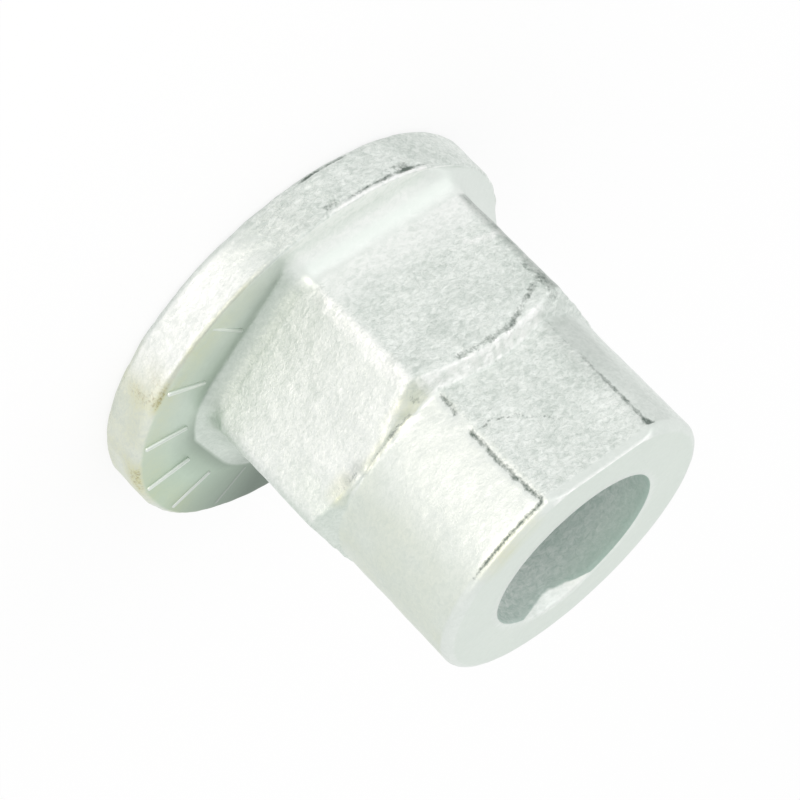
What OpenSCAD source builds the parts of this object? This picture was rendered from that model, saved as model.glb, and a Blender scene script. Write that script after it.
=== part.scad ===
// Eccentric nut: a hot-dip galvanised steel forging in one piece.
// The bore axis is Z, the flange's rear face lies on z = 0 and the nose points up.
// The flange is offset towards +X, and one flat of the hexagon faces +X as well.

/* [Bore] */
// Diameter of the plain through bore
bore_d = 21.6; // [18:0.2:24]
// Bevel that breaks the edge at both mouths
bore_bevel = 0.1; // [0.1:0.1:0.5]

/* [Flange] */
// Diameter of the round flange
flange_d = 51.2; // [50:0.2:58]
// Thickness of the flange
flange_t = 5.6; // [4:0.2:8]
// Distance from the bore axis to the flange's centre
eccentricity = 4; // [1:0.5:4.5]
// Rounding of the rear edge of the rim
rim_round = 0.8; // [0.2:0.1:1.5]

/* [Hexagon body] */
// Width across the flats
body_af = 36; // [33:0.5:38]
// Height at which the end cone meets the middle of a flat
body_h = 24.9; // [20:0.1:28]
// Rounding of the six upright corners
body_corner_r = 2.4; // [1:0.2:5]
// Fillet between the flats and the flange face
foot_fillet_r = 3.2; // [1:0.2:4]
// Slope of the end cone against the end plane, in degrees
cone_slope = 30; // [20:1:40]

/* [Nose] */
// Diameter of the round nose
nose_d = 35.4; // [33:0.2:36]
// Height of the end face above the flange's rear face
nose_h = 42.2; // [38:0.2:50]
// Distance from the bore axis to the flat on the nose
nose_flat = 16.1; // [14:0.1:16.2]
// Rounding of the nose's end edge
nose_round = 1; // [0.4:0.1:2]

/* [Graduation] */
// Number of raised marks on the wide side of the flange
mark_count = 8; // [2:2:8]
// Angle between two marks about the flange's centre, in degrees
mark_pitch = 21.4; // [12:0.2:22]
// Width of a mark
mark_w = 0.6; // [0.4:0.1:1]
// Distance from the flange's centre to the inner end of a mark
mark_inner_r = 19; // [18.5:0.5:22]
// Distance from the outer end of a mark to the rim
mark_margin = 0.8; // [0.4:0.1:1.5]

/* [Hidden] */
$fn = 128;
sides = 6;
side_angle = 360 / sides;
// The nose's flat lies over the flat of the body on this side
nose_flat_angle = -2 * side_angle;
flange_r = flange_d / 2;
body_apothem = body_af / 2;
// Centres of the corner roundings form a smaller hexagon
core_apothem = body_apothem - body_corner_r;
core_r = core_apothem / cos(side_angle / 2);
core_side = 2 * core_apothem * tan(side_angle / 2);
// The sweep round the hexagon starts inside the flange
sink = flange_t / 2;
// The fillet dips a little under the flange face, so the two faces cross cleanly
fillet_dip = 0.06;
// For the same reason the corners stand a hair proud of the flats, with a fuller fillet
corner_proud = 0.02;
corner_extra = 0.2;
// The end cone, carried in to the bore axis and out past the corners
cone_tip_h = body_h + body_apothem * tan(cone_slope);
cone_out_r = 2 * body_apothem;
cone_out_h = cone_tip_h - cone_out_r * tan(cone_slope);
mark_l = flange_r - mark_margin - mark_inner_r;
cut = 1;

// Section of the hexagon's wall, from the core outwards, with the foot fillet
module wall_section(depth, fillet_r) {
  fillet_top = flange_t - fillet_dip + fillet_r - sink;
  square([depth, cone_tip_h - sink]);
  translate([depth, 0])
    difference() {
      square([fillet_r, fillet_top]);
      translate([fillet_r, fillet_top]) circle(fillet_r);
    }
}

// The hexagon: a core with the wall section led along each side and turned about each corner
module hexagon_sweep() {
  translate([0, 0, sink]) {
    rotate(side_angle / 2) cylinder(h = cone_tip_h - sink, r = core_r, $fn = sides);
    for (i = [0 : sides - 1])
      rotate(i * side_angle) {
        translate([core_apothem, core_side / 2, 0])
          rotate([90, 0, 0]) linear_extrude(core_side) wall_section(body_corner_r, foot_fillet_r);
        translate([core_apothem, core_side / 2, 0])
          rotate_extrude() wall_section(body_corner_r + corner_proud, foot_fillet_r + corner_extra);
      }
  }
}

// The hexagon's end is turned to a cone, as on a common nut
module end_cone() {
  rotate_extrude()
    polygon([[0, 0], [cone_out_r, 0], [cone_out_r, cone_out_h], [0, cone_tip_h]]);
}

// Everything on the foot stays within the eccentric rim
module rim_envelope() {
  translate([eccentricity, 0, 0])
    rotate_extrude() {
      square([flange_r - rim_round, nose_h]);
      translate([0, rim_round]) square([flange_r, nose_h - rim_round]);
      translate([flange_r - rim_round, rim_round]) circle(rim_round);
    }
}

module flange_and_body() {
  intersection() {
    union() {
      cylinder(h = flange_t, r = flange_r + 2 * eccentricity);
      intersection() {
        hexagon_sweep();
        end_cone();
      }
    }
    rim_envelope();
  }
}

// Round nose with a rounded end edge and one flat
module nose() {
  nose_r = nose_d / 2;
  difference() {
    rotate_extrude() {
      translate([0, sink]) square([nose_r, nose_h - nose_round - sink]);
      translate([0, sink]) square([nose_r - nose_round, nose_h - sink]);
      translate([nose_r - nose_round, nose_h - nose_round]) circle(nose_round);
    }
    rotate(nose_flat_angle)
      translate([nose_flat, -nose_r, 0]) cube([nose_r, nose_d, nose_h + cut]);
  }
}

// Half-round marks, radial from the flange's centre, on the wide side of its front face
module graduation() {
  translate([eccentricity, 0, flange_t])
    for (i = [0 : mark_count - 1])
      rotate((i - (mark_count - 1) / 2) * mark_pitch)
        translate([mark_inner_r, 0, 0]) rotate([0, 90, 0]) cylinder(h = mark_l, d = mark_w, $fn = 32);
}

// Plain bore from end to end, with both mouths bevelled
module bore() {
  mouth_r = bore_d / 2 + bore_bevel + cut;
  translate([0, 0, -cut]) cylinder(h = nose_h + 2 * cut, d = bore_d);
  translate([0, 0, -cut]) cylinder(h = cut + bore_bevel + cut, r1 = mouth_r, r2 = mouth_r - 2 * cut - bore_bevel);
  translate([0, 0, nose_h - bore_bevel - cut])
    cylinder(h = cut + bore_bevel + cut, r1 = mouth_r - 2 * cut - bore_bevel, r2 = mouth_r);
}

module eccentric_nut() {
  color([0.80, 0.83, 0.81])
    difference() {
      union() {
        flange_and_body();
        nose();
        graduation();
      }
      bore();
    }
}

eccentric_nut();
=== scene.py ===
"""Eccentric nut: a hot-dip galvanised steel forging in one piece, on a white studio floor."""

import math

import bmesh
import bpy
from mathutils import Matrix, Quaternion, Vector, noise


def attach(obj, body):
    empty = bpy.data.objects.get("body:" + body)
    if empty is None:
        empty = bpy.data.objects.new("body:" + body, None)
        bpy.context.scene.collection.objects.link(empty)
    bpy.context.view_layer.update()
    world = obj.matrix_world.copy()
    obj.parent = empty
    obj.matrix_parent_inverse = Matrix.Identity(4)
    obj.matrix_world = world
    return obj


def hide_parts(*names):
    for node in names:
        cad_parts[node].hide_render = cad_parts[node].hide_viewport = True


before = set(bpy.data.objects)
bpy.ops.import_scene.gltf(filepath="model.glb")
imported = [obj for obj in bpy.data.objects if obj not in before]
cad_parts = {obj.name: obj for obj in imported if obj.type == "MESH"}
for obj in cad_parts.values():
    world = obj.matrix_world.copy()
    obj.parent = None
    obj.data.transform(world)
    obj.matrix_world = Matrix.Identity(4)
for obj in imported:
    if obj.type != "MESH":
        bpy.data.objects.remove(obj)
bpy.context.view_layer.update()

# The forging
# The flange, the hexagon and the nose are one piece of steel, pressed hot between two dies from
# a round blank. The end face and the bore are cut afterwards, so they stay true, while the forged
# skin is lumpy and soft-edged. Sizes are in mm.
MM = 0.001
BORE_R = 10.8
BORE_BEVEL = 0.1
FLANGE_R = 25.6
FLANGE_T = 5.6
ECCENTRICITY = 4
RIM_ROUND = 0.8
RIM_EDGE = 0.35
BODY_APOTHEM = 18
BODY_H = 24.9
HALF_SIDE = math.pi / 6
CORNER_R = 2.4
CRISP_R = 0.9
FOOT_FILLET = 3.2
CONE_RISE = math.tan(math.radians(30))
NOSE_R = 17.7
NOSE_H = 42.2
NOSE_FLAT = 16.1
NOSE_FLAT_ANGLE = -120
NOSE_ROUND = 1
# How far worn dies and hand work take the edges away from their true form
RIM_EDGE_EXTRA = 0.5
FOOT_DIP = 0.04
FOOT_DIP_EXTRA = 0.56
FOOT_FULLER = 8
MOUTH_BEVEL = 0.5
MOUTH_DEPTH = 1.7
MOUTH_RAGGED = 0.4
MOUTH_NOTCHES = 9
# The net of points that the section is pressed from
COLUMNS = 480
FILLET_ROWS = 14
NOSE_EDGE_ROWS = 5
FINE_BORE = 8
NARROWEST_FACE = 0.05
WELD = 0.00001


def rim_radius(angle):
    """Distance from the bore axis to the eccentric rim, at an angle in radians."""
    across = ECCENTRICITY * math.sin(angle)
    return ECCENTRICITY * math.cos(angle) + math.sqrt(FLANGE_R**2 - across**2)


def wall_radius(angle, out, fuller=0):
    """Distance from the bore axis to the rounded hexagon, grown by out, with fuller corners."""
    turn = abs((angle + HALF_SIDE) % (2 * HALF_SIDE) - HALF_SIDE)
    # The corner at -90 degrees was filled better than the others and stayed crisp
    crisp = math.cos(angle + math.pi / 2) > math.cos(HALF_SIDE)
    corner_r = (CRISP_R if crisp else CORNER_R) + fuller
    core = BODY_APOTHEM - corner_r
    straight = (BODY_APOTHEM + out) / math.cos(turn)
    if straight * math.sin(turn) <= core * math.tan(HALF_SIDE):
        return straight
    corner = core / math.cos(HALF_SIDE)
    aside = corner * math.sin(HALF_SIDE - turn)
    along = corner * math.cos(HALF_SIDE - turn)
    return along + math.sqrt((corner_r + out) ** 2 - aside**2)


def nose_radius(angle):
    """Distance from the bore axis to the nose, round but for its one flat."""
    facing = math.cos(angle - math.radians(NOSE_FLAT_ANGLE))
    if NOSE_R * facing > NOSE_FLAT:
        return NOSE_FLAT / facing
    return NOSE_R


def between(value, low, high, blur):
    """1 from low to high, falling to 0 over the blur on either side."""
    return max(0, min(1, (value - low) / blur + 1, (high - value) / blur + 1))


def foot_fuller(degrees):
    """How much rounder the foot's corners are, towards the widest part of the flange."""
    return FOOT_FULLER * between(degrees, -50, 50, 15)


def section(angle):
    """The forging's closed section at one angle, as rows of zone, radius and height.

    The rows run from the rear mouth out over the flange, up to the end and back down the bore.
    """
    degrees = (math.degrees(angle) + 180) % 360 - 180
    rim = rim_radius(angle)
    wall = wall_radius(angle, 0)
    nose = nose_radius(angle)
    # The rim's front edge is worn rounder on part of the wide side
    edge_r = RIM_EDGE + RIM_EDGE_EXTRA * between(degrees, -46, 0, 14)
    lip = rim - edge_r
    # The die is worn on one side, so the foot fillet there meets the flange face at an edge
    worn = FOOT_DIP + FOOT_DIP_EXTRA * between(degrees, -180, -45, 30)
    dip = worn * between(degrees, -84, 84, 5)
    foot_turn = math.acos(1 - dip / FOOT_FILLET)
    foot_out = FOOT_FILLET * (1 - math.sin(foot_turn))
    fuller = foot_fuller(degrees)
    foot = min(wall_radius(angle, foot_out, fuller), lip - NARROWEST_FACE)
    wall_top = BODY_H + (BODY_APOTHEM - wall) * CONE_RISE
    root = BODY_H + (BODY_APOTHEM - nose) * CONE_RISE
    rear_mouth = BORE_R + BORE_BEVEL
    # The mouth on the nose is broken by hand, more on one side
    uneven = between(degrees, 58, 63, 25)
    ragged = noise.noise((MOUTH_NOTCHES * angle, 0, 0))
    mouth = BORE_R + BORE_BEVEL + MOUTH_BEVEL * uneven
    mouth_depth = BORE_BEVEL + uneven * (MOUTH_DEPTH + MOUTH_RAGGED * ragged)
    rows = []

    def line(zone, start, end, count):
        for i in range(count):
            share = i / count
            radius = start[0] + (end[0] - start[0]) * share
            height = start[1] + (end[1] - start[1]) * share
            rows.append((zone, radius, height))

    def arc(zone, centre, bend_r, start, count):
        for i in range(count):
            turn = math.radians(start + 90 * i / count)
            radius = centre[0] + bend_r * math.cos(turn)
            height = centre[1] + bend_r * math.sin(turn)
            rows.append((zone, radius, height))

    line("bore", (BORE_R, BORE_BEVEL), (rear_mouth, 0), 1)
    line("rear", (rear_mouth, 0), (rim - RIM_ROUND, 0), 8)
    arc("rear edge", (rim - RIM_ROUND, RIM_ROUND), RIM_ROUND, -90, 4)
    line("rim", (rim, RIM_ROUND), (rim, FLANGE_T - edge_r), 16)
    arc("rim edge", (lip, FLANGE_T - edge_r), edge_r, 0, 3)
    line("face", (lip, FLANGE_T), (foot, FLANGE_T), 18)
    for i in range(FILLET_ROWS):
        turn = foot_turn + (math.pi / 2 - foot_turn) * i / FILLET_ROWS
        out = FOOT_FILLET * (1 - math.sin(turn))
        rise = FOOT_FILLET * (1 - math.cos(turn)) - dip
        radius = wall_radius(angle, out, fuller * (1 - i / FILLET_ROWS))
        rows.append(("fillet", min(radius, foot), FLANGE_T + rise))
    line("wall", (wall, FLANGE_T + FOOT_FILLET - dip), (wall, wall_top), 44)
    line("cone", (wall, wall_top), (nose, root), 9)
    line("nose", (nose, root), (nose, NOSE_H - NOSE_ROUND), 46)
    for i in range(NOSE_EDGE_ROWS):
        turn = math.radians(90 * i / NOSE_EDGE_ROWS)
        radius = NOSE_R - NOSE_ROUND + NOSE_ROUND * math.cos(turn)
        rise = NOSE_ROUND * math.sin(turn)
        rows.append(("nose edge", min(nose, radius), NOSE_H - NOSE_ROUND + rise))
    line("end", (min(nose, NOSE_R - NOSE_ROUND), NOSE_H), (mouth, NOSE_H), 6)
    line("mouth", (mouth, NOSE_H), (BORE_R, NOSE_H - mouth_depth), 5)
    line("bore", (BORE_R, NOSE_H - mouth_depth), (BORE_R, NOSE_H - FINE_BORE), 12)
    line("bore", (BORE_R, NOSE_H - FINE_BORE), (BORE_R, BORE_BEVEL), 8)
    return rows


# A sheet with one column for each angle is rolled round the bore and pressed to the section there
zones = [row[0] for row in section(0)]
shape = bmesh.new()
bmesh.ops.create_grid(shape, x_segments=COLUMNS, y_segments=len(zones), size=1)
shape.verts.ensure_lookup_table()
row_of = shape.verts.layers.int.new("row")
for column in range(COLUMNS + 1):
    angle = 2 * math.pi * (column % COLUMNS) / COLUMNS
    rows = section(angle)
    for i in range(len(rows) + 1):
        _, radius, height = rows[i % len(rows)]
        vert = shape.verts[i * (COLUMNS + 1) + column]
        vert.co = (radius * math.cos(angle) * MM, radius * math.sin(angle) * MM, height * MM)
        vert[row_of] = i % len(rows)
bmesh.ops.remove_doubles(shape, verts=shape.verts, dist=WELD * MM)
bmesh.ops.recalc_face_normals(shape, faces=shape.faces)


def angle_of(spot):
    """Angle about the bore, in degrees from the widest part of the flange."""
    return math.degrees(math.atan2(spot.y, spot.x))


def soften(verts, passes):
    """Smooths these points of the forging."""
    for _ in range(passes):
        bmesh.ops.smooth_vert(
            shape, verts=verts, factor=0.5, use_axis_x=True, use_axis_y=True, use_axis_z=True
        )


# Wear and the zinc bath soften the forged edges
SOFT_ZONES = ("rim edge", "fillet", "wall", "cone", "nose")
soft = [vert for vert in shape.verts if zones[vert[row_of]] in SOFT_ZONES]
soften(soft, 2)
# On one side the end cone runs out softly into the nose
merged = []
for vert in soft:
    if -86 < angle_of(vert.co) < -15 and 23.2 * MM < vert.co.z < 26.6 * MM:
        merged.append(vert)
soften(merged, 12)

# Places below are angles in degrees about the bore, from the widest part of the flange, and
# heights in mm above its rear face. A stretch is its low end, its high end and its blur.
FLAT_SIDE = (-150, -92, 4)
MARK_SIDE = (-88, -32, 2)
RIM_FRONT = (5.3, 6, 0.2)
FILLET_FADE = 2.6


def fillet_rise(height):
    """0 at the foot of the fillet, 1 near its top."""
    return between(height, FLANGE_T + FILLET_FADE, NOSE_H, FILLET_FADE)


def flat_seam(angle, radius, height):
    """Dark scale on the nose's flat: a seam at either side, a flare at one end and a crack."""
    arc = radius * math.radians(1)
    ragged = noise.noise((height / 0.9, 0, 0))
    bowed = -94.6 + 1.5 * math.sin(math.pi * (height - 26) / 16) + 0.7 * ragged
    broken = 0.95 * between(height, 25.6, 28.2, 0.4) + between(height, 30.6, 42, 0.8)
    near_side = (broken + 0.25 * ragged) * between((angle - bowed) * arc, 0, 0.2, 0.5)
    deepening = 0.45 + 0.35 * between(height, 34, NOSE_H, 5) + 0.3 * ragged
    far_side = deepening * between((angle + 145) * arc, -0.3 - 0.2 * ragged, 0.1, 0.5)
    spread = between(angle, -149 + 3 * (41.2 - height), -144.6, 2)
    flare = 1.15 * spread * between(height, 40, 41.2, 0.3)
    path = 30.9 + 0.0062 * (angle + 95) ** 2 + 0.5 * noise.noise((angle / 3, 0, 0))
    crack = 0.85 * between(height - path, -0.05, 0.05, 0.3) * between(angle, -121, -96, 2)
    return max(0, near_side, far_side, flare, crack)


def end_seam(angle, height):
    """Dark scale below the nose's end edge, fading away from the flat."""
    fading = between(angle, -94, -66, 18) * between(angle, -94, 0, 1)
    return 1.1 * between(height, 41.1, 41.3, 0.4) * fading


def root_crack(angle, height):
    """Dark scale in the crack where the end cone runs out into the nose."""
    long_part = 0.68 * between(height, 24.88, 25, 0.25) * between(angle, -83, -61, 3)
    corner_part = 0.62 * between(height, 24.3, 24.7, 0.4) * between(angle, -88.5, -86, 1)
    return max(long_part, corner_part)


def wall_crease(angle, radius, height):
    """Dark scale in the creases below the end cone and along the corner at -150 degrees."""
    top = BODY_H + (BODY_APOTHEM - radius) * CONE_RISE
    bend = 1.3 * between(angle, -180, -143, 13)
    bent = between(height + bend, top - 0.8, top - 0.3, 0.5)
    flat_side = 0.72 * bent * between(angle, -145, -107, 4)
    level = between(height, top - 0.8, top - 0.3, 0.5)
    mark_side = 0.55 * level * between(angle, -55, -46, 4)
    low_corner = 0.55 * between(angle, -152, -150, 1.5) * between(height, 8, 17, 1)
    high_corner = 0.66 * between(angle, -151, -147, 2) * between(height, 19.5, 23.5, 2)
    return max(flat_side, mark_side, low_corner, high_corner)


def rim_crack(angle, height):
    """Dark scale in the crack below the rim's lip, widest near one end."""
    crack = between(height, 4.95, 5.15, 0.3)
    thick_part = crack * between(angle, -137, -128, 6)
    wide_part = 0.62 * between(height, 4.1, 5.1, 0.4) * between(angle, -133, -126, 3)
    thin_part = 0.85 * crack * between(angle, -126, -112, 3)
    end_part = 0.75 * between(height, 4.3, 4.8, 0.5) * between(angle, -108, -105, 2)
    return max(thick_part, wide_part, thin_part, end_part)


def seam_share(zone, angle, radius, height):
    """How much dark scale is caught in a seam, crease or crack here, from 0 to 1."""
    if zone == "rear edge":
        return 0.95 * between(height, 0.3, 0.7, 0.3) * between(angle, -118, -106, 4)
    if zone in ("rim", "rim edge"):
        return rim_crack(angle, height)
    if zone in ("wall", "cone"):
        return max(root_crack(angle, height), wall_crease(angle, radius, height))
    if zone == "nose":
        edges = max(root_crack(angle, height), end_seam(angle, height))
        return max(edges, flat_seam(angle, radius, height))
    if zone == "nose edge":
        return end_seam(angle, height)
    return 0


def stain_share(zone, angle, radius, height):
    """How much of the yellow-brown bath stain lies here, from 0 to 1."""
    if zone in ("rim", "rim edge", "rear edge"):
        upper = 0.5 * between(angle, -49, -43, 5) * between(height, 2.5, 6, 2)
        lower = 0.58 * between(angle, -19, -12, 6) * between(height, 4.2, 6, 1.5)
        edge = 0.5 * between(angle, -78, -46, 8) * between(height, *RIM_FRONT)
        base = 0.42 * between(angle, -46, 180, 10) * between(angle, -180, -8, 45)
        return max(edge, base + max(upper, lower))
    if zone == "face":
        past_rim = radius - rim_radius(math.radians(angle))
        return 0.3 * between(past_rim, -2, 0, 3) * between(angle, -70, 10, 14)
    if zone in ("wall", "cone"):
        corner = 0.42 * between(angle, -90, -76, 5) * between(height, 23.6, 26, 0.4)
        root = 0.3 * between(height, 24.4, 26, 0.4) * between(angle, -84, -60, 6)
        patch = 0.5 * between(angle, -49, -43, 5) * between(height, 23.2, 24.2, 1)
        return max(corner, root, patch)
    if zone == "nose":
        return 0.16 * between(angle, -50, 0, 15)
    if zone in ("nose edge", "end"):
        return 0.35 * between(radius, 16.2, NOSE_R, 1) * between(angle, -86, -64, 6)
    return 0


def film_and_bounce_share(zone, angle, height):
    """How thick the pale green film from the bath is here, from 0 to 1, with painted bounce light on
    the flange face.
    """
    # On the flange face the green stands in for light bounced off the body: a painted reflection
    if zone == "face":
        return 0.37 * between(angle, -10, 70, 80)
    if zone == "fillet":
        return 0.13 * between(height, 0, FLANGE_T + 0.8, 2.6) * between(angle, -84, 60, 4)
    if zone in ("wall", "cone"):
        return 0.09 * between(angle, -40, 20, 8) * between(height, 20, NOSE_H, 4)
    if zone == "nose":
        return 0.07 * between(angle, -50, 60, 25)
    return {"end": 0.07, "bore": 0.04}.get(zone, 0)


def wear_and_highlight_share(zone, angle, radius, height):
    """How much lighter the zinc is here, from 0 to 1: rubbed bright along some edges, and painted
    highlight and painted light elsewhere.
    """
    # Rim: the trimming lip is rubbed bright, and the rim on the mark side carries a painted highlight
    if zone in ("rim", "rim edge"):
        lip = 0.9 * between(angle, -137, -108, 4) * between(height, *RIM_FRONT)
        mark_side = 0.6 * between(angle, -76, -50, 12) * between(height, 0, 5, 0.3)
        return max(lip, mark_side)
    # Painted light on the flange face on the flat side
    if zone == "face":
        return 0.9 * between(angle, *FLAT_SIDE)
    # Painted light in the foot fillet on the flat side, and a faint painted highlight on the mark side
    if zone == "fillet":
        low = 0.6 * between(height, 0, FLANGE_T + 0.5, 0.8) * between(angle, -130, -92, 16)
        flat_side = (low + 0.25 * between(height, 8, NOSE_H, 0.8)) * between(angle, *FLAT_SIDE)
        mark_side = 0.15 * fillet_rise(height) * between(angle, *MARK_SIDE)
        return max(flat_side, mark_side)
    # Wall: the crisp ridge and a fold are rubbed bright and carry a painted highlight, and the foot on
    # the flat side and the mark side get painted light
    if zone == "wall":
        ridge = 0.65 * between(angle, -90.5, -86.5, 1.5) * between(height, 10, 25, 3)
        path = 13.7 - 0.1 * (angle + 137) + noise.noise((angle / 3, 0, 0))
        fold = 0.6 * between(height - path, -0.2, 0.2, 0.3) * between(angle, -149, -139, 3)
        foot = 0.5 * between(angle, -148, -92, 3) * between(height, 5, 10, 4)
        mark_side = 0.35 * between(angle, *MARK_SIDE)
        return max(ridge, fold, foot, mark_side)
    # Painted highlight on the end cone, strongest on the flat side
    if zone == "cone":
        ragged = 1 + noise.noise((angle / 2, 0, 0))
        flat_side = 0.75 * ragged * between(angle, -140, -94, 4)
        mark_side = 0.1 * between(angle, -92, -50, 6)
        return max(flat_side, mark_side)
    # The nose's end edge along the flat is rubbed bright and carries a painted highlight
    if zone in ("nose", "nose edge") and radius < NOSE_R - 0.2:
        return 0.8 * between(height, 42.05, 42.2, 0.1) * between(angle, -142, -98, 3)
    # Painted highlight on the side of the nose facing the front lamp
    if zone == "nose":
        return 0.18 * between(angle, -94, -60, 40) * between(angle, -94, 0, 1)
    # Painted pool of light on the far wall of the mouth, where light comes in over the rim
    if zone == "mouth":
        return 0.3 * between(angle, 40, 80, 10)
    # Painted light in the bore, lighter deeper in and on one side, against the shade that falls there
    if zone == "bore":
        deep = between(NOSE_H - height, 4, NOSE_H, 4)
        return 0.12 + 0.35 * deep + 0.2 * between(angle, -60, 30, 60)
    return 0


def painted_shade_share(zone, angle, radius, height):
    """How much painted shade darkens the zinc here, from 0 to 1: in the foot, behind edges and on
    sides turned from the light.
    """
    # Painted shadow of the body on the wide side of the flange face
    painted_body_shadow = 0.85 * between(angle, 38, 44, 36)
    if zone in ("rim", "rim edge"):
        # Painted shade on the rim's front edge, and faintly on the rim near -90 and -155 degrees
        edge = 0.2 * between(angle, -84, -46, 6) * between(height, 5.3, 6, 0.25)
        return edge + 0.07 * between(angle, -98, -86, 6) + 0.05 * between(angle, -170, -140, 8)
    if zone == "face":
        # Painted shade on the flange face along the body's foot, spreading wider on the wide side
        fillet_out = 1.3 + 1.4 * between(angle, -10, 50, 25)
        out = radius - wall_radius(math.radians(angle), fillet_out, foot_fuller(angle))
        foot = 0.17 * between(angle, -82, 60, 5) * between(out, -1, 0.2, 1.6)
        spread = 0.35 * between(angle, -18, 60, 14) * between(out, -1, 0.5, 3.5)
        return max(painted_body_shadow, foot + spread)
    if zone == "fillet":
        # Painted shade in the foot fillet, most on the mark side
        along = 0.24 * between(angle, -84, -36, 5) + 0.06 * between(angle, -31, 60, 5)
        return max(0.6 * painted_body_shadow, between(height, 0, FLANGE_T + 1.4, 2.2) * along)
    if zone == "wall":
        # Painted shade in a crease under the end cone, and on the corner at -150 degrees, which turns
        # from the light
        patch = 0.22 * between(angle, -57, -50, 4) * between(height, 23.7, 24.8, 0.7)
        corner = between(angle, -180, -149, 2) * between(angle, -155, 0, 12)
        return max(patch, 0.32 * corner * between(height, 8, NOSE_H, 4))
    if zone == "nose":
        # Painted shade on the nose beside its flat, where it turns from the light
        return (0.09 + 0.1 * between(height, 26, 31, 4)) * between(angle, -158, -145.5, 8)
    return 0


def skin_share(zone, angle, height):
    """How rough the forged skin is here, from 0 to 1."""
    fading = between(angle, -180, 10, 60)
    if zone == "wall" and angle < -92:
        return 0.4 + 0.6 * between(height, 14, NOSE_H, 6)
    if zone in ("wall", "cone", "rim", "rim edge", "rear edge"):
        return 1 - 0.5 * fading * between(angle, -87, 180, 4)
    if zone == "nose":
        past_flat = 0.7 * fading * between(angle, -94, 180, 1)
        return 1 - past_flat - 0.5 * between(angle, -175, -146, 2)
    if zone == "fillet":
        return 0.1 + 0.4 * between(angle, -86, 60, 4)
    return {"bore": 0.45, "mouth": 0.3, "nose edge": 0.2, "face": 0.15, "end": 0.12}.get(zone, 0)


# The dies leave lumps of these widths and heights in each zone
LUMPS = {
    "rear edge": [(2.6, 0.08), (1.3, 0.05)],
    "rim": [(7, 0.10), (2.6, 0.10), (1.3, 0.06)],
    "rim edge": [(2.6, 0.10), (1.3, 0.08)],
    "face": [(6, 0.04), (1.6, 0.01)],
    "fillet": [(9, 0.12), (3, 0.06), (1.2, 0.045)],
    "wall": [(9, 0.12), (3, 0.06), (1.2, 0.045)],
    "cone": [(3, 0.12), (1.2, 0.16), (0.7, 0.06)],
    "nose": [(6, 0.06), (2, 0.03), (1.1, 0.025)],
    "nose edge": [(2, 0.02)],
    "bore": [(5, 0.02)],
}
SCALE_PATCH = 1.6
STAIN_CLOUD = 3
NICK_WIDTH = 1.4
NICK_RISE = 0.25
LIP_RISE = 0.16
SEAM_DEPTH = 0.12
NOSE_START = 25.5
shape.normal_update()
# The worn share holds rubbed bright edges and also painted highlight and painted light
shares = {"skin": [], "seam": [], "stain": [], "film_and_bounce": [], "worn": [], "painted_shade": [], "dull_and_shaded": []}
moves = []
for vert in shape.verts:
    zone = zones[vert[row_of]]
    angle = angle_of(vert.co)
    radius = math.hypot(vert.co.x, vert.co.y) / MM
    height = vert.co.z / MM
    seam = seam_share(zone, angle, radius, height)
    # The scale is patchy except along the nose
    if zone in ("wall", "cone") or height < NOSE_START:
        seam *= 1 + 0.6 * noise.noise(vert.co / (SCALE_PATCH * MM))
    clouds = 1 + 0.7 * noise.noise(vert.co / (STAIN_CLOUD * MM))
    shares["skin"].append(skin_share(zone, angle, height))
    shares["seam"].append(seam)
    shares["stain"].append(clouds * stain_share(zone, angle, radius, height))
    shares["film_and_bounce"].append(film_and_bounce_share(zone, angle, height))
    shares["worn"].append(wear_and_highlight_share(zone, angle, radius, height))
    shares["painted_shade"].append(painted_shade_share(zone, angle, radius, height))
    # The bore is duller, and painted darker as shade inside it
    shares["dull_and_shaded"].append(1 if zone == "bore" else 0)
    lump = 0
    for width, rise in LUMPS.get(zone, []):
        lump += rise * noise.noise(vert.co / (width * MM))
    if zone == "fillet":
        lump *= fillet_rise(height)
    # Trimming left a lip on the rim's front edge
    if zone in ("rim", "rim edge"):
        lump += LIP_RISE * between(angle, -138, -109, 5) * between(height, 5.25, 6, 0.15)
    # The crisp corner is knobbly
    if zone in ("wall", "cone"):
        nick = max(0, noise.noise(vert.co / (NICK_WIDTH * MM))) * between(height, 12, NOSE_H, 4)
        lump += NICK_RISE * nick * between(angle, -93, -86, 2)
    moves.append(vert.normal * (lump - SEAM_DEPTH * seam) * MM)
for vert, move in zip(shape.verts, moves):
    vert.co += move


def finished_mesh(name, shape, shares):
    """A named mesh from a finished shape, with its shares as attributes for the zinc."""
    mesh = bpy.data.meshes.new(name)
    shape.to_mesh(mesh)
    shape.free()
    for share_name, values in shares.items():
        mesh.attributes.new(share_name, "FLOAT", "POINT").data.foreach_set("value", values)
    return mesh


def put_in_scene(name, data):
    """Adds a named object to the scene and returns it."""
    thing = bpy.data.objects.new(name, data)
    bpy.context.collection.objects.link(thing)
    return thing


nut_mesh = finished_mesh("nut_forging", shape, shares)
nut_mesh.shade_smooth()
nut = put_in_scene("nut_forging", nut_mesh)


def add(tree, kind, inputs=None, **settings):
    """Adds a node with its settings, sets or links its inputs, and returns it."""
    node = tree.nodes.new(kind)
    for name, value in settings.items():
        setattr(node, name, value)
    for name, value in (inputs or {}).items():
        if isinstance(value, bpy.types.NodeSocket):
            tree.links.new(value, node.inputs[name])
        else:
            node.inputs[name].default_value = value
    return node


def linear(hex_colour):
    """A linear RGBA colour from an sRGB hex value."""
    parts = [int(hex_colour[i : i + 2], 16) / 255 for i in (1, 3, 5)]
    return [p / 12.92 if p <= 0.04045 else ((p + 0.055) / 1.055) ** 2.4 for p in parts] + [1]


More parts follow.
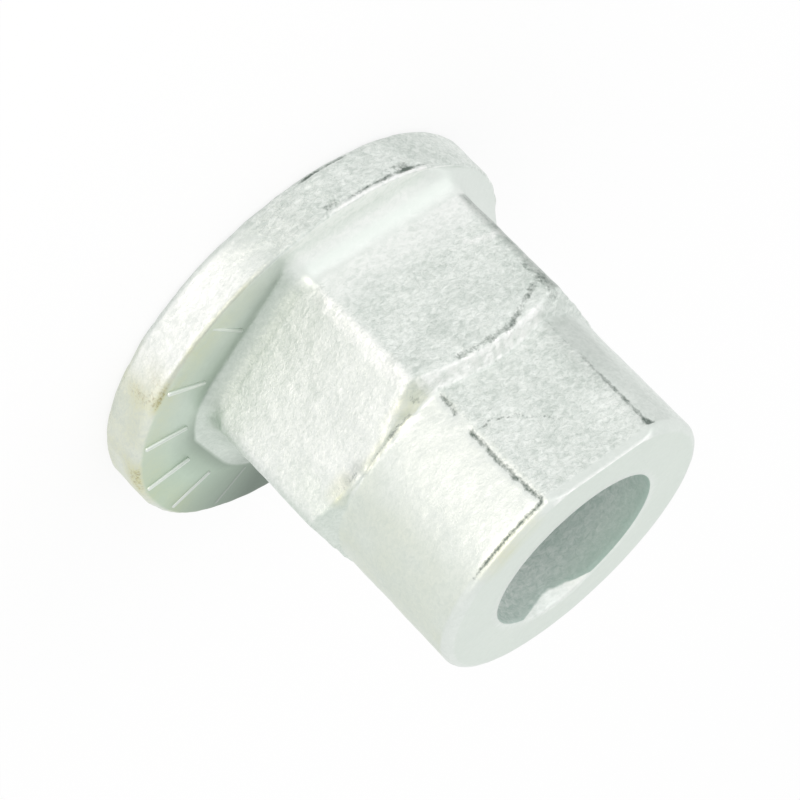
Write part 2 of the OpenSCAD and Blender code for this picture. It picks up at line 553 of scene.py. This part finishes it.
# Hot-dip galvanised steel: a dull zinc skin with a faint green cast, mottled with pale flecks and
# finely crinkled where the forging is rough. The drilled wall of the bore hardly shines, and is
# painted darker as shade in the bore.
FLECK_SQUASH = 1.6
EVEN_TONE = 0.45
CRINKLE_DEPTH = 0.17
ZINC_ROUGHNESS = 0.42
BORE_ROUGHNESS = 0.72
BORE_METALLIC = 0.2
zinc = bpy.data.materials.new("hot_dip_galvanised_steel")
zinc.use_nodes = True
tree = zinc.node_tree
shader = tree.nodes["Principled BSDF"]
share = {}
for name in shares:
    share[name] = add(tree, "ShaderNodeAttribute", attribute_name=name).outputs["Fac"]
place = add(tree, "ShaderNodeTexCoord").outputs["Object"]
squashed = add(
    tree, "ShaderNodeMapping", {"Vector": place, "Scale": (1, 1, FLECK_SQUASH)}
).outputs[0]
# Each pattern's coordinates, size in mm, detail, roughness and distortion
pattern = {}
for name, spot, size, detail, rough, distortion in (
    ("patches", place, 5, 3, 0.5, 0),
    ("flecks", squashed, 0.75, 3, 0.6, 0.8),
    ("grain", place, 0.36, 4, 0.7, 0),
    ("crinkle", squashed, 0.65, 5, 0.72, 0.5),
):
    settings = {"Vector": spot, "Scale": 1 / (size * MM), "Detail": detail}
    settings.update({"Roughness": rough, "Distortion": distortion})
    pattern[name] = add(tree, "ShaderNodeTexNoise", settings).outputs["Fac"]
# Pale flecks gather in patches, and a smooth skin has an even tone
mottle = add(
    tree,
    "ShaderNodeMath",
    {0: pattern["patches"], 1: 0.5, 2: pattern["flecks"]},
    operation="MULTIPLY_ADD",
).outputs[0]
mottle = add(
    tree, "ShaderNodeMapRange", {"Value": mottle, "From Min": 0.535, "From Max": 0.975}
).outputs[0]
mottle = add(
    tree, "ShaderNodeMix", {"Factor": share["skin"], 2: EVEN_TONE, 3: mottle}
).outputs[0]
# Stain, rubbing and the painted highlight follow the flecks, and the grain breaks stain into specks
# and scale into crumbs
stained = add(
    tree, "ShaderNodeMath", {0: share["stain"], 1: pattern["flecks"]}, operation="MULTIPLY"
).outputs[0]
rub_and_highlight = add(
    tree, "ShaderNodeMath", {0: share["worn"], 1: pattern["flecks"]}, operation="MULTIPLY"
).outputs[0]
rub_and_highlight = add(
    tree, "ShaderNodeMath", {0: rub_and_highlight, 1: 2}, operation="MULTIPLY", use_clamp=True
).outputs[0]
grained = {}
for name, weight, low, high in (("stain", 2, 1.95, 2.5), ("seam", 1.6, 1.3, 1.95)):
    level = add(
        tree,
        "ShaderNodeMath",
        {0: pattern["grain"], 1: weight, 2: share[name]},
        operation="MULTIPLY_ADD",
    ).outputs[0]
    grained[name] = add(
        tree, "ShaderNodeMapRange", {"Value": level, "From Min": low, "From Max": high}
    ).outputs[0]
colour = linear("#CCD4CE")
for amount, tint in (
    (mottle, "#F3F7F3"),
    # Painted shade inside the bore
    (share["dull_and_shaded"], "#9DB6AD"),
    # Pale green film, and on the flange face painted bounce light
    (share["film_and_bounce"], "#66A163"),
    (stained, "#CCCB8A"),
    (grained["stain"], "#A0955C"),
    # Rubbed bright zinc, and painted highlight and painted light
    (rub_and_highlight, "#FBFCFA"),
    # Painted shade
    (share["painted_shade"], "#58665C"),
    (grained["seam"], "#6F7A73"),
):
    layer = {"Factor": amount, 6: colour, 7: linear(tint)}
    colour = add(tree, "ShaderNodeMix", layer, data_type="RGBA").outputs[2]
roughness = add(
    tree,
    "ShaderNodeMath",
    {0: share["dull_and_shaded"], 1: BORE_ROUGHNESS - ZINC_ROUGHNESS, 2: ZINC_ROUGHNESS},
    operation="MULTIPLY_ADD",
).outputs[0]
metallic = add(
    tree,
    "ShaderNodeMath",
    {0: share["dull_and_shaded"], 1: BORE_METALLIC - 1, 2: 1},
    operation="MULTIPLY_ADD",
).outputs[0]
bump = add(
    tree,
    "ShaderNodeBump",
    {"Strength": share["skin"], "Distance": CRINKLE_DEPTH * MM, "Height": pattern["crinkle"]},
)
tree.links.new(colour, shader.inputs["Base Color"])
tree.links.new(roughness, shader.inputs["Roughness"])
tree.links.new(bump.outputs["Normal"], shader.inputs["Normal"])
tree.links.new(metallic, shader.inputs["Metallic"])
nut_mesh.materials.append(zinc)
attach(nut, "root")
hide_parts("eccentric_nut")

# The graduation
# Half-round marks on the wide side of the flange's front face, of the same steel and zinc.
# They are raised in the die, and point at a spot beside the bore rather than at the flange's
# middle.
MARK_COUNT = 8
MARK_PITCH = 21.4
MARK_R = 0.3
MARK_INNER_R = 19
MARK_OUTER_R = 24.8
MARK_END_ROUND = 0.2
MARK_SEGMENTS = 16
MARK_WORN = 0.2
MARK_FILM = 0.08
mark_aim = Vector((0.5, 5, FLANGE_T)) * MM
flange_middle = Vector((ECCENTRICITY, 0, FLANGE_T)) * MM
reach = (MARK_INNER_R + MARK_OUTER_R) / 2 * MM
shape = bmesh.new()
for i in range(MARK_COUNT):
    turn = math.radians((i - (MARK_COUNT - 1) / 2) * MARK_PITCH)
    spot = flange_middle + reach * Vector((math.cos(turn), math.sin(turn), 0))
    outwards = (spot - mark_aim).to_track_quat("Z", "Y").to_matrix().to_4x4()
    bmesh.ops.create_cone(
        shape,
        cap_ends=True,
        segments=MARK_SEGMENTS,
        radius1=MARK_R * MM,
        radius2=MARK_R * MM,
        depth=(MARK_OUTER_R - MARK_INNER_R) * MM,
        matrix=Matrix.Translation(spot) @ outwards,
    )
ends = [edge for edge in shape.edges if any(len(face.verts) > 4 for face in edge.link_faces)]
bmesh.ops.bevel(
    shape,
    geom=ends,
    offset=MARK_END_ROUND * MM,
    segments=3,
    profile=0.5,
    affect="EDGES",
    material=-1,
)
for vert in shape.verts:
    angle = angle_of(vert.co)
    radius = math.hypot(vert.co.x, vert.co.y) / MM
    # The die is worn on the far side, where the marks come out lower
    far_marks = 0.4 * between(angle, 8, 90, 5) + 0.35 * between(angle, 26, 90, 10)
    # The first mark fades out towards the rim
    first_mark = 0.95 * between(angle, -80, -60, 3) * between(radius, 23.5, 30, 1)
    vert.co.z -= MARK_R * MM * max(far_marks, first_mark)
bmesh.ops.recalc_face_normals(shape, faces=shape.faces)
# A mark gets the painted shade of the flange face beside it, and a share that isn't given counts as 0
mark_shares = {"worn": [], "film_and_bounce": [], "painted_shade": []}
for vert in shape.verts:
    mark_shares["worn"].append(MARK_WORN)
    mark_shares["film_and_bounce"].append(MARK_FILM)
    mark_shares["painted_shade"].append(painted_shade_share("face", angle_of(vert.co), FLANGE_R, FLANGE_T))
mark_mesh = finished_mesh("nut_marks", shape, mark_shares)
mark_mesh.shade_smooth()
mark_mesh.materials.append(zinc)
marks = put_in_scene("nut_marks", mark_mesh)
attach(marks, "root")
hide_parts("eccentric_nut")

# The floor
# A wide sheet of matt white paper, laid on the studio floor just below the flange's rear face.
# It glows a little for the camera and in reflections, so it stays white, and keeps the shadow.
FLOOR_REACH = 4000
FLOOR_DROP = 0.1
PAPER_GLOW = 0.8
shape = bmesh.new()
bmesh.ops.create_grid(shape, x_segments=1, y_segments=1, size=FLOOR_REACH * MM)
bmesh.ops.translate(shape, verts=shape.verts, vec=(0, 0, -FLOOR_DROP * MM))
floor_mesh = finished_mesh("studio_floor", shape, {})
floor = put_in_scene("studio_floor", floor_mesh)
# Backdrop paper: flat white with no shine
paper = bpy.data.materials.new("white_backdrop_paper")
paper.use_nodes = True
tree = paper.node_tree
tree.nodes.remove(tree.nodes["Principled BSDF"])
ray = add(tree, "ShaderNodeLightPath").outputs
seen = ray["Is Camera Ray"]
for kind in ("Is Glossy Ray", "Is Transmission Ray"):
    seen = add(tree, "ShaderNodeMath", {0: seen, 1: ray[kind]}, operation="MAXIMUM").outputs[0]
glow = add(tree, "ShaderNodeMath", {0: seen, 1: PAPER_GLOW}, operation="MULTIPLY").outputs[0]
matt = add(tree, "ShaderNodeBsdfDiffuse", {"Color": linear("#F8F8F8")}).outputs[0]
bright = add(tree, "ShaderNodeEmission", {"Color": linear("#FFFFFF"), "Strength": 1}).outputs[0]
surface = add(tree, "ShaderNodeMixShader", {0: glow, 1: matt, 2: bright}).outputs[0]
tree.links.new(surface, tree.nodes["Material Output"].inputs["Surface"])
floor_mesh.materials.append(paper)

# The light
# A white surround lights the part from all sides. A low warm lamp beside the camera and a broad
# lamp on the narrow side of the flange stand round it and give it form.
LAMP_DISTANCE = 600
world = bpy.data.worlds.new("white_surround")
bpy.context.scene.world = world
world.use_nodes = True
surround = world.node_tree.nodes["Background"]
surround.inputs["Color"].default_value = linear("#FFFFFF")
surround.inputs["Strength"].default_value = 1


def direction(azimuth, elevation):
    """Unit vector towards this azimuth and elevation, in degrees."""
    across = math.cos(math.radians(elevation))
    turn = math.radians(azimuth)
    rise = math.sin(math.radians(elevation))
    return Vector((across * math.cos(turn), across * math.sin(turn), rise))


# The lamps and the camera face this spot in the middle of the part
middle = Vector((2.155, -1.085, 17.029)) * MM
# Each lamp's azimuth and elevation in degrees, width and depth in mm, power in watts and tint
for name, azimuth, elevation, width, depth, power, tint in (
    ("front_lamp", -66, 8, 600, 140, 0.8, "#FFF3E6"),
    ("side_lamp", -155, 26, 700, 500, 0.35, "#FFFFFF"),
):
    light = bpy.data.lights.new(name, "AREA")
    light.shape = "RECTANGLE"
    light.size = width * MM
    light.size_y = depth * MM
    light.energy = power
    light.color = linear(tint)[:3]
    lamp = put_in_scene(name, light)
    lamp.location = middle + direction(azimuth, elevation) * LAMP_DISTANCE * MM
    lamp.rotation_mode = "QUATERNION"
    lamp.rotation_quaternion = (middle - lamp.location).to_track_quat("-Z", "Y")

# The camera
# A long lens, about 20 degrees above the flange's plane, on the side of the body's crisp corner.
# It is rolled so that the nose points to the lower right.
CAMERA_AZIMUTH = -90.534
CAMERA_ELEVATION = 19.713
CAMERA_DISTANCE = 342.76
CAMERA_ROLL = 135.86
FOCAL_LENGTH = 144
SENSOR_WIDTH = 36
FARTHEST = 50000
lens = bpy.data.cameras.new("camera")
lens.lens = FOCAL_LENGTH
lens.sensor_width = SENSOR_WIDTH
lens.clip_end = FARTHEST * MM
camera = put_in_scene("camera", lens)
camera.location = middle + direction(CAMERA_AZIMUTH, CAMERA_ELEVATION) * CAMERA_DISTANCE * MM
camera.rotation_mode = "QUATERNION"
upright = (middle - camera.location).to_track_quat("-Z", "Y")
camera.rotation_quaternion = upright @ Quaternion((0, 0, 1), math.radians(CAMERA_ROLL))
bpy.context.scene.camera = camera
bpy.context.scene.view_settings.view_transform = "Standard"
